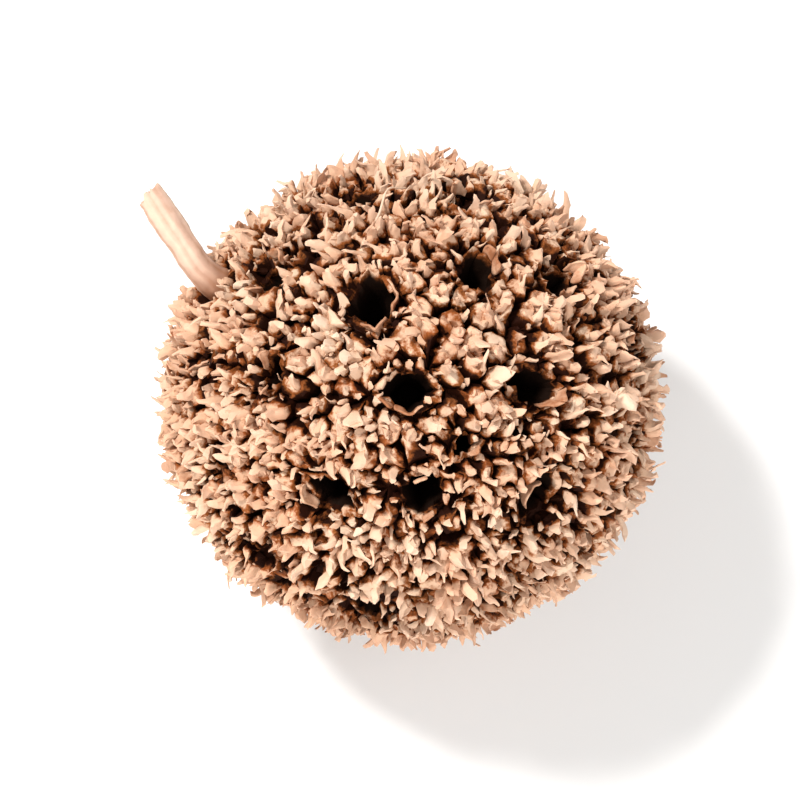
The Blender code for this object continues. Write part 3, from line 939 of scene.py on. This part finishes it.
def valve_mesh(skin, draw):
    """Thin torn valves that stand round the open capsules."""
    values = sizes()
    built = bmesh.new()
    for number, pit in enumerate(skin.pits, start=1):
        if pit.is_socket:
            continue
        crest = skin.crests[number]
        middle = sum(crest, Vector()) / len(crest)
        for side in (0, 1):
            tall, peak, curl, jags = valve_draws(number, side, draw)
            before = None
            for (along, place), jag in zip(side_points(crest, 4 * side), jags.tolist()):
                near_peak = math.exp(-(((along - peak) / values.valve_spread) ** 2))
                if tall == 0.0 or near_peak < VALVE_LEAST:
                    before = None
                    continue
                height = tall * values.valve_height * near_peak * jag
                outer = place - middle
                outer = (outer - outer.dot(pit.normal) * pit.normal).normalized()
                column = []
                for row in VALVE_ROWS:
                    rise = row * (height if row > 0.0 else VALVE_SKIRT)
                    lean = row * (curl * height * row if row > 0.0 else VALVE_SKIRT_LEAN)
                    column.append(built.verts.new(place + rise * pit.normal + lean * outer))
                if before:
                    for low in range(len(VALVE_ROWS) - 1):
                        high = low + 1
                        built.faces.new((before[low], column[low], column[high], before[high]))
                before = column
    mesh = mesh_from("capsule_valves", built)
    points = points_of(mesh)
    points += noise_rows(points, "valve wrinkles") * values.valve_crinkle
    points += noise_rows(points, "small valve wrinkles") * 0.4 * values.valve_crinkle
    move_points(mesh, points)
    return mesh


def fibre_mesh(draw):
    """The fine dry fibre that clings to the spines: a thin bent tube, sunk at both ends."""
    ways = [np.array(face_direction(*place, SPINE_TIP_RADIUS)) for place in FIBRE_ENDS]
    first, last = (ball_place(way, SPINE_TIP_RADIUS) for way in ways)
    sway = draw.normal(0.0, 0.18 * MM, (2, 3))
    along = np.linspace(0.0, 1.0, FIBRE_STEPS)[:, None]
    places = first + along * (last - first) + np.sin(math.pi * along) * sway[0]
    places += np.sin(3.0 * math.pi * along) * 0.4 * sway[1]
    sunk = 0.25 * MM + 0.65 * MM * (1.0 - np.sin(math.pi * along))
    places -= sunk * unit_rows(places - CENTRE_ROW)
    headings = unit_rows(np.gradient(places, axis=0))
    aside = unit_rows(np.cross(headings, FACE_OUT_ROW))
    other = np.cross(headings, aside)
    girth = FIBRE_RADIUS * (1.0 - 0.5 * along) * draw.uniform(0.8, 1.2, (FIBRE_STEPS, 1))
    sides = [
        places + girth * (math.cos(turn) * aside + math.sin(turn) * other)
        for turn in even_turns(FIBRE_SIDES)
    ]
    points = kept_in_box(np.stack(sides, axis=1).reshape(-1, 3), "seed_ball")
    faces = tube_faces(FIBRE_SIDES, FIBRE_STEPS)
    faces.append(tuple(range(len(points) - FIBRE_SIDES, len(points))))
    return mesh_of("dry_fibre", points, faces)


def add_node(tree, kind, inputs=None, **settings):
    """A node with its settings, and each of its inputs either linked or set."""
    node = tree.nodes.new(kind)
    for name, value in settings.items():
        setattr(node, name, value)
    for name, value in (inputs or {}).items():
        if isinstance(value, bpy.types.NodeSocket):
            tree.links.new(value, node.inputs[name])
        else:
            node.inputs[name].default_value = value
    return node


def ramp_node(tree, factor, stops):
    """A colour ramp through (position, colour) stops."""
    node = add_node(tree, "ShaderNodeValToRGB", {"Fac": factor})
    elements = node.color_ramp.elements
    while len(elements) < len(stops):
        elements.new(1.0)
    for element, (position, colour) in zip(elements, stops):
        element.position = position
        element.color = (*colour, 1.0)
    return node.outputs["Color"]


def mix_node(tree, factor, first, second, blend="MIX"):
    """The mix of two colours; the numbers are those of the node's colour sockets."""
    given = {0: factor, 6: first, 7: second}
    return add_node(tree, "ShaderNodeMix", given, data_type="RGBA", blend_type=blend).outputs[2]


def float_math(tree, operation, first, second, clamp=False):
    given = {0: first, 1: second}
    return add_node(tree, "ShaderNodeMath", given, operation=operation, use_clamp=clamp).outputs[0]


def dry_grain_group():
    """Fine fibrous grain of dry wood: a mask of darker flecks and a height for bump."""
    name = "Dry grain"
    if name in bpy.data.node_groups:
        return bpy.data.node_groups[name]
    group = bpy.data.node_groups.new(name, "ShaderNodeTree")
    for label, side in (("Scale", "INPUT"), ("Mask", "OUTPUT"), ("Height", "OUTPUT")):
        group.interface.new_socket(label, in_out=side, socket_type="NodeSocketFloat")
    given = group.nodes.new("NodeGroupInput").outputs
    result = group.nodes.new("NodeGroupOutput").inputs
    where = add_node(group, "ShaderNodeTexCoord").outputs["Object"]
    layers = []
    for share, detail, roughness in ((1.0, 5.0, 0.65), (0.3, 3.0, 0.5)):
        scale = float_math(group, "MULTIPLY", given["Scale"], share)
        inputs = {"Vector": where, "Scale": scale, "Detail": detail, "Roughness": roughness}
        layers.append(add_node(group, "ShaderNodeTexNoise", inputs).outputs["Fac"])
    both = float_math(group, "MULTIPLY", *layers)
    spread = {"Value": both, "From Min": 0.12, "From Max": 0.40}
    mask = add_node(group, "ShaderNodeMapRange", spread).outputs["Result"]
    group.links.new(mask, result["Mask"])
    group.links.new(layers[0], result["Height"])
    return group


def start_material(name, roughness):
    material = bpy.data.materials.new(name)
    material.use_nodes = True
    shader = material.node_tree.nodes["Principled BSDF"]
    shader.inputs["Roughness"].default_value = roughness
    shader.inputs["Specular IOR Level"].default_value = SHINE
    return material, shader


def wood_material(name, paint):
    """A dry, grained surface; paint gives its colour from a tree and the grain's mask."""
    roughness, scale, depth, strength = SURFACES[name]
    material, shader = start_material(name, roughness)
    tree = material.node_tree
    grain = add_node(tree, "ShaderNodeGroup", node_tree=dry_grain_group())
    grain.inputs["Scale"].default_value = scale
    tree.links.new(paint(tree, grain.outputs["Mask"]), shader.inputs["Base Color"])
    given = {"Height": grain.outputs["Height"], "Distance": depth, "Strength": strength}
    bump = add_node(tree, "ShaderNodeBump", given)
    tree.links.new(bump.outputs["Normal"], shader.inputs["Normal"])
    return material


def attribute(tree, name):
    return add_node(tree, "ShaderNodeAttribute", attribute_name=name).outputs["Fac"]


def ball_paint(tree, mask):
    """Tan tips and red-brown flanks, with painted shade that darkens them towards the crevices
    down to near black, each spine with a tone of its own.
    """
    chosen = colours()
    spread = float_math(tree, "MULTIPLY", float_math(tree, "SUBTRACT", mask, 0.5), 0.42)
    level = float_math(tree, "ADD", attribute(tree, "height"), spread, clamp=True)
    # Painted shade: the lower a point lies among the spines, the darker its colour, down to near
    # black at the crevices' bottoms
    stops = (
        (0.20, chosen.crevice),
        (0.345, chosen.flank_and_shade),
        (0.49, chosen.crumb),
        (0.88, chosen.tip),
    )
    colour = ramp_node(tree, level, stops)
    redder = mix_node(tree, 1.0, colour, (*chosen.red_tone, 1.0), "MULTIPLY")
    reddish = float_math(tree, "MULTIPLY", attribute(tree, "tone"), 0.8)
    colour = mix_node(tree, reddish, colour, redder)
    # Painted shade: the capsules' walls and floors go near black from just below the rim
    given = {"Value": attribute(tree, "inside"), "From Max": 0.10}
    deep = add_node(tree, "ShaderNodeMapRange", given).outputs["Result"]
    return mix_node(tree, deep, colour, (*chosen.capsule_painted_shade, 1.0))


def bark_paint(tree, mask):
    """Pale pinkish bark, flecked with grain, with painted shade in its grooves and where it leaves
    the ball.
    """
    chosen = colours()
    # Painted shade in the bark's grooves, with flecks of grain from the mask
    level = float_math(tree, "MULTIPLY", attribute(tree, "groove"), 0.75)
    level = float_math(tree, "ADD", level, float_math(tree, "MULTIPLY", mask, 0.35), clamp=True)
    stops = ((0.10, chosen.bark_grain_and_shade), (0.55, chosen.bark), (1.0, chosen.tip))
    colour = ramp_node(tree, level, stops)
    # Painted shade where the stalk leaves the ball, in the flank's dark red-brown
    shade = float_math(tree, "MULTIPLY", attribute(tree, "foot"), 0.75)
    return mix_node(tree, shade, colour, (*chosen.flank_and_shade, 1.0))


def flecked_paint(dark, light):
    """A paint flecked between two colours."""
    return lambda tree, mask: ramp_node(tree, mask, ((0.15, dark), (0.85, light)))


def stalk_route(socket):
    """The stalk's centreline: out of its socket, round a bend among the spines, then straight."""
    out = socket.normal
    heading = Vector(STALK_END_HEADING).normalized()
    heading = heading.x * FACE_RIGHT + heading.y * FACE_UP + heading.z * FACE_OUT
    foot = BALL_CENTRE + stretched(out, VALLEY_RADIUS - SOCKET_DEPTH + SOCKET_GAP)
    collar = BALL_CENTRE + stretched(out, VALLEY_RADIUS)
    knee = BALL_CENTRE + stretched(out, STALK_KNEE_RADIUS)
    bent = knee + heading * STALK_BEND
    end = knee + heading * STALK_REACH
    route = [foot]
    for step in range(STALK_STEPS + 1):
        t = step / STALK_STEPS
        route.append((1 - t) ** 2 * collar + 2 * t * (1 - t) * knee + t * t * bent)
    for step in range(STALK_STEPS):
        route.append(bent.lerp(end, (step + 1) / STALK_STEPS))
    return route


def along_route(route, count):
    """Evenly spaced places along a route, and the route's heading at each."""
    corners = np.array([tuple(place) for place in route])
    travelled = np.append(0.0, np.cumsum(np.linalg.norm(np.diff(corners, axis=0), axis=1)))
    wanted = np.linspace(0.0, travelled[-1], count)
    places = np.column_stack([np.interp(wanted, travelled, corners[:, axis]) for axis in range(3)])
    for _ in range(6):
        places[1:-1] = 0.25 * places[:-2] + 0.5 * places[1:-1] + 0.25 * places[2:]
    return places, unit_rows(np.gradient(places, axis=0)), wanted / travelled[-1]


def stalk_mesh(socket, draw):
    """A ridged, slightly knotty rod that widens at its foot and ends in a crooked break."""
    values = sizes()
    rings, sides = BARK_RINGS, BARK_SIDES
    places, headings, shares = along_route(stalk_route(socket), rings)
    aside = unit_rows(np.cross(headings, np.array(socket.along)))
    other = np.cross(headings, aside)
    turns = even_turns(sides)
    bulge = 1.0 + STALK_BULGE * np.sin(math.pi * shares)
    swell = 1.0 + STALK_SWELL * np.sin(STALK_SWELLS * shares)
    girth = BARK_COVER * STALK_RADIUS * bulge * swell / (1.0 + STALK_SWELL)
    foot = np.linalg.norm(places - CENTRE_ROW, axis=1) - VALLEY_RADIUS
    girth = girth * (1.0 + values.stalk_flare * np.exp(-((foot / FLARE_FADE) ** 2)))

    starts = draw.uniform(0.0, FULL_TURN, 3)
    many, more, few = BARK_RIDGES
    points = np.empty((rings, sides, 3))
    groove = np.empty((rings, sides))
    for ring in range(rings):
        drift = BARK_TWIST * shares[ring]
        ridge = np.sin(many * turns + starts[0] + drift)
        ridge = ridge + 0.7 * np.sin(more * turns + starts[1] - drift)
        ridge = ridge / 1.7 + 0.5 * np.sin(few * turns + starts[2] + 2.0 * drift)
        groove[ring] = np.clip(0.5 + ridge / 3.0, 0.0, 1.0)
        radius = girth[ring] - values.stalk_ridges * (1.0 - groove[ring])
        across = np.cos(turns)[:, None] * aside[ring] + np.sin(turns)[:, None] * other[ring]
        points[ring] = places[ring] + radius[:, None] * across
    lumps = noise_rows(points.reshape(-1, 3), "bark lumps") * 0.9 * values.stalk_ridges
    lumps += noise_rows(points.reshape(-1, 3), "small bark lumps") * 0.5 * values.stalk_ridges
    points += lumps.reshape(points.shape)

    broken = draw.uniform(0.0, 1.0, sides) * values.stalk_splinter
    broken += (0.5 + 0.5 * np.sin(turns + 1.0)) * values.stalk_splinter
    reach = np.clip((shares - SPLINTERS_FROM) / (1.0 - SPLINTERS_FROM), 0.0, 1.0)
    points -= (reach[:, None] * broken[None, :])[..., None] * headings[-1]

    verts = points.reshape(-1, 3).tolist()
    tone = groove.ravel().tolist()
    for inner, sunk in BREAK_RINGS:
        ring = places[-1] + (points[-1] - places[-1]) * inner
        ring -= (sunk + 0.25 * draw.random(sides))[:, None] * values.stalk_splinter * headings[-1]
        verts += ring.tolist()
        tone += (0.15 + 0.6 * draw.random(sides)).tolist()
    verts.append((places[-1] - 1.1 * values.stalk_splinter * headings[-1]).tolist())
    tone.append(0.0)
    around = rings + len(BREAK_RINGS)
    faces = tube_faces(sides, around) + top_faces(sides, around)
    mesh = mesh_of("stalk_bark", kept_in_box(np.array(verts), "stalk", 0.3 * MM), faces)
    # How high each point stands on the bark's ridges, which the paint turns into painted shade in
    # the grooves
    write_rows(mesh, "groove", tone)
    # How near each ring lies to the ball, which the paint turns into painted shade
    near_foot = np.repeat(np.exp(-((foot / FOOT_SHADE_FADE) ** 2)), sides)
    write_rows(mesh, "foot", np.append(near_foot, np.zeros(len(verts) - len(near_foot))))
    return mesh


def length_field(name, description, default, least=0.0):
    return FloatProperty(
        name=name, description=description, default=default, min=least, unit="LENGTH"
    )


def lengths_field(name, description, default):
    return FloatVectorProperty(
        name=name, description=description, default=default, size=len(default), unit="LENGTH"
    )


def share_field(name, description, default, least=0.0):
    return FloatProperty(
        name=name,
        description=description,
        default=default,
        min=least,
        soft_max=1.0,
        subtype="FACTOR",
    )


def angle_field(name, description, default):
    return FloatProperty(name=name, description=description, default=default, subtype="ANGLE")


class SeedBallSizes(PropertyGroup):
    """Sizes of the fine surface and of the camera's view."""

    crevice_depth: length_field(
        "Crevice depth",
        "How much deeper than the solid the crevices between the spines go",
        0.00075,
    )
    bluntness: share_field(
        "Bluntness", "How far the spines go from plain pyramids to blunt crumbs", 1.0
    )
    dent: length_field(
        "Tip dent", "Depth of the small dent in the end of the blunter spines", 0.00022
    )
    crook: length_field("Crook", "How far the spines are bent out of true", 0.00026)
    roughness: length_field("Roughness", "Size of the small lumps on the spines", 0.00013)
    creases: length_field("Creases", "Depth of the creases in the spines' sides and ends", 0.00016)
    lip_tatter: length_field(
        "Lip tatter", "How far the capsules' rims stray from a clean edge", 0.00042
    )
    skin_sink: length_field(
        "Skin sink",
        "How far the skin lies below the solid's spines, to make room for the crumbs",
        0.0008,
    )
    lip_sink: share_field(
        "Lip sinking",
        "How far the capsules' lips lie lower, as a share of the skin's own sinking",
        0.85,
    )
    crumb_root: length_field(
        "Crumb root", "How deep the crumbs are seated below the hollows of the skin", 0.00030
    )
    crumb_stray: length_field(
        "Crumb stray", "How far the crumbs' ends stray from their even places", 0.00016
    )
    crumb_widths: lengths_field(
        "Crumb half widths",
        "Usual half width of crumbs on spines, in hollows and on rims",
        (0.00045, 0.00034, 0.00029),
    )
    crumb_lumps: length_field(
        "Crumb lumps", "Size of the lumps and hollows in the crumbs' sides", 0.00022
    )
    hollow_share: share_field(
        "Hollows filled", "Share of the hollows between spines that hold a crumb", 0.64
    )
    hollow_reach: lengths_field(
        "Hollow crumb reach",
        "Least and greatest radius of the tips of crumbs in hollows",
        (0.0140, 0.0149),
    )
    rim_pitch: length_field(
        "Rim crumb pitch", "Distance between the crumbs on a capsule's rim", 0.00054, 0.0002
    )
    rim_margin: lengths_field(
        "Rim crumb margin",
        "Least and greatest distance of those crumbs from the mouth's edge",
        (0.00012, 0.00065),
    )
    rim_lowered: length_field(
        "Rim crumbs lowered",
        "How much lower those crumbs are on the side over which a mouth is seen",
        0.0009,
    )
    rim_reach: lengths_field(
        "Rim crumb reach",
        "Least and greatest radius of the tips of crumbs on rims",
        (0.0139, 0.0145),
    )
    stalk_flare: share_field(
        "Stalk flare", "How much wider the stalk is where it leaves the ball, as a share", 0.12
    )
    stalk_ridges: length_field("Bark ridges", "Depth of the grooves in the stalk's bark", 0.00007)
    stalk_splinter: length_field(
        "Splinters", "Length of the splinters at the stalk's broken end", 0.00040
    )
    valve_height: length_field(
        "Valve height", "How far the tallest valves stand above the rims", 0.00075
    )
    valve_spread: share_field(
        "Valve spread", "Half width of a valve, in eighths of the way round a mouth", 0.85, 0.1
    )
    valve_crinkle: length_field(
        "Valve crinkle", "How far the valves are bent by their wrinkles", 0.00022
    )
    valve_thickness: length_field(
        "Valve thickness", "Thickness of the papery valves", 0.00012, 0.00002
    )
    camera_distance: length_field(
        "Camera distance", "From the camera to the middle of the ball", 0.300, 0.05
    )
    camera_elevation: angle_field(
        "Camera elevation", "Height of the camera's view above the horizon", math.radians(78.0)
    )
    frame_width: length_field("Frame width", "Width of the picture at the ball", 0.047, 0.01)


def colour_field(name, description, default):
    return FloatVectorProperty(
        name=name,
        description=description,
        default=default,
        size=3,
        subtype="COLOR",
        min=0.0,
        max=1.0,
    )


class SeedBallColours(PropertyGroup):
    """Colours of the ball, the stalk and the floor."""

    # Painted shade: the near-black colour at the bottom of the gaps between the spines
    crevice: colour_field(
        "Crevice", "Bottom of the gaps between the spines", (0.018, 0.0040, 0.0010)
    )
    # The spines' own red-brown, darkened as painted shade for their lower sides and for the
    # stalk's foot
    flank_and_shade: colour_field("Flank", "Lower sides of the spines", (0.262, 0.082, 0.021))
    crumb: colour_field("Crumb", "Upper sides of the spines", (0.670, 0.480, 0.340))
    tip: colour_field("Tip", "Ends of the spines", (0.740, 0.540, 0.405))
    red_tone: colour_field("Red tone", "Tint of the redder spines", (0.92, 0.72, 0.62))
    # Painted shade: the near-black colour of the capsules' walls and floors
    capsule_painted_shade: colour_field("Capsule inside", "Walls of the capsules", (0.010, 0.004, 0.002))
    valve: colour_field("Valve", "Papery valves and lips", (0.660, 0.405, 0.265))
    valve_dark: colour_field("Valve shade", "Darker flecks of the valves", (0.330, 0.130, 0.060))
    bark: colour_field("Bark", "Stalk", (0.600, 0.400, 0.305))
    # Darker flecks of the stalk's grain, and painted shade in its grooves
    bark_grain_and_shade: colour_field("Bark shade", "Darker grain of the stalk", (0.420, 0.235, 0.150))
    floor: colour_field("Floor", "Floor under the ball", (0.86, 0.86, 0.855))


def shared_pits():
    return make_pits(np.random.default_rng(SEED))


class SEEDBALL_OT_skin(Operator):
    """Build the ball's skin, and the woody crumbs that cover it"""

    bl_idname = "seedball.skin"
    bl_label = "Skin and Crumbs"

    def execute(self, context):
        coarse = CoarseSkin(shared_pits())
        draw = np.random.default_rng(SEED + 2)
        material = wood_material("Ball wood", ball_paint)
        meshes = [crumb_mesh(*group, draw) for group in crumb_groups(coarse, draw)]
        for mesh in [fine_skin(coarse), *meshes]:
            add_piece(mesh, "seed_ball", material, WOOD_SHARP)
        return {"FINISHED"}


class SEEDBALL_OT_valves(Operator):
    """Build the papery valves round the open capsules"""

    bl_idname = "seedball.valves"
    bl_label = "Capsule Valves"

    def execute(self, context):
        chosen = colours()
        mesh = valve_mesh(CoarseSkin(shared_pits()), np.random.default_rng(SEED + 3))
        material = wood_material("Valve skin", flecked_paint(chosen.valve_dark, chosen.valve))
        valves = add_piece(mesh, "seed_ball", material)
        rounding = valves.modifiers.new("Rounding", "SUBSURF")
        rounding.levels = rounding.render_levels = 1
        thick = valves.modifiers.new("Thickness", "SOLIDIFY")
        thick.thickness = sizes().valve_thickness
        thick.offset = 0.0
        return {"FINISHED"}


class SEEDBALL_OT_fibre(Operator):
    """Build the fine dry fibre that clings to the spines"""

    bl_idname = "seedball.fibre"
    bl_label = "Dry Fibre"

    def execute(self, context):
        chosen = colours()
        mesh = fibre_mesh(np.random.default_rng(SEED + 5))
        material = wood_material("Fibre skin", flecked_paint(chosen.crumb, chosen.tip))
        add_piece(mesh, "seed_ball", material)
        return {"FINISHED"}


class SEEDBALL_OT_stalk(Operator):
    """Build the stub of the stalk, with its ridged bark and splintered end"""

    bl_idname = "seedball.stalk"
    bl_label = "Stalk"

    def execute(self, context):
        socket = next(pit for pit in shared_pits() if pit.is_socket)
        mesh = stalk_mesh(socket, np.random.default_rng(SEED + 4))
        material = wood_material("Stalk bark", bark_paint)
        add_piece(mesh, "stalk", material, BARK_SHARP)
        return {"FINISHED"}


class SEEDBALL_OT_stage(Operator):
    """Build the floor, the lights and the camera"""

    bl_idname = "seedball.stage"
    bl_label = "Floor, Lights and Camera"

    def execute(self, context):
        scene, values = context.scene, sizes()
        self.add_floor()
        elevation = values.camera_elevation
        back = Vector((0.0, -math.cos(elevation), math.sin(elevation)))
        up = Vector((0.0, math.sin(elevation), math.cos(elevation)))
        camera = bpy.data.cameras.new("camera")
        camera.sensor_width = SENSOR_WIDTH
        camera.lens = SENSOR_WIDTH * values.camera_distance / values.frame_width
        camera.clip_start = 0.01
        scene.camera = self.place("camera", camera, back, values.camera_distance)
        for name, (x, y, z), distance, size, power, colour in LIGHTS:
            light = bpy.data.lights.new(name, "AREA")
            light.size, light.energy, light.color = size, power, colour
            towards = (x * Vector((1.0, 0.0, 0.0)) + y * up + z * back).normalized()
            self.place(name, light, towards, distance)
        scene.world = bpy.data.worlds.new("studio")
        scene.world.use_nodes = True
        sky = scene.world.node_tree.nodes["Background"].inputs
        sky["Color"].default_value = (1.0, 1.0, 1.0, 1.0)
        sky["Strength"].default_value = WORLD_STRENGTH
        scene.view_settings.view_transform = "Standard"
        return {"FINISHED"}

    def place(self, name, data, towards, distance):
        """Puts a camera or light that way from the middle of the picture, facing it."""
        holder = add_object(name, data)
        holder.location = PICTURE_MIDDLE + towards * distance
        holder.rotation_euler = towards.to_track_quat("Z", "Y").to_euler()
        return holder

    def add_floor(self):
        built = bmesh.new()
        bmesh.ops.create_grid(built, x_segments=2, y_segments=2, size=FLOOR_HALF_WIDTH)
        mesh = mesh_from("floor", built)
        floor = add_object("floor", mesh)
        floor.location.z = -FLOOR_DROP
        material, shader = start_material("Floor", FLOOR_ROUGHNESS)
        shader.inputs["Base Color"].default_value = (*colours().floor, 1.0)
        mesh.materials.append(material)


class SEEDBALL_PT_panel(Panel):
    """Lists the steps that dress the seed ball"""

    bl_idname = "SEEDBALL_PT_panel"
    bl_label = "Seed Ball"
    bl_space_type = "VIEW_3D"
    bl_region_type = "UI"
    bl_category = "Seed Ball"

    def draw(self, context):
        layout = self.layout
        for group in (context.scene.seed_ball_sizes, context.scene.seed_ball_colours):
            column = layout.column(align=True)
            for name in group.__annotations__:
                column.prop(group, name)
        for step in STEPS:
            layout.operator(step.bl_idname)


STEPS = (
    SEEDBALL_OT_skin,
    SEEDBALL_OT_valves,
    SEEDBALL_OT_fibre,
    SEEDBALL_OT_stalk,
    SEEDBALL_OT_stage,
)
CLASSES = (SeedBallSizes, SeedBallColours, *STEPS, SEEDBALL_PT_panel)


def register():
    for cls in CLASSES:
        bpy.utils.register_class(cls)
    bpy.types.Scene.seed_ball_sizes = PointerProperty(type=SeedBallSizes)
    bpy.types.Scene.seed_ball_colours = PointerProperty(type=SeedBallColours)


def unregister():
    del bpy.types.Scene.seed_ball_colours
    del bpy.types.Scene.seed_ball_sizes
    for cls in reversed(CLASSES):
        bpy.utils.unregister_class(cls)


def main():
    register()
    bpy.ops.seedball.skin()
    bpy.ops.seedball.valves()
    bpy.ops.seedball.fibre()
    bpy.ops.seedball.stalk()
    bpy.ops.seedball.stage()


if __name__ == "__main__":
    main()
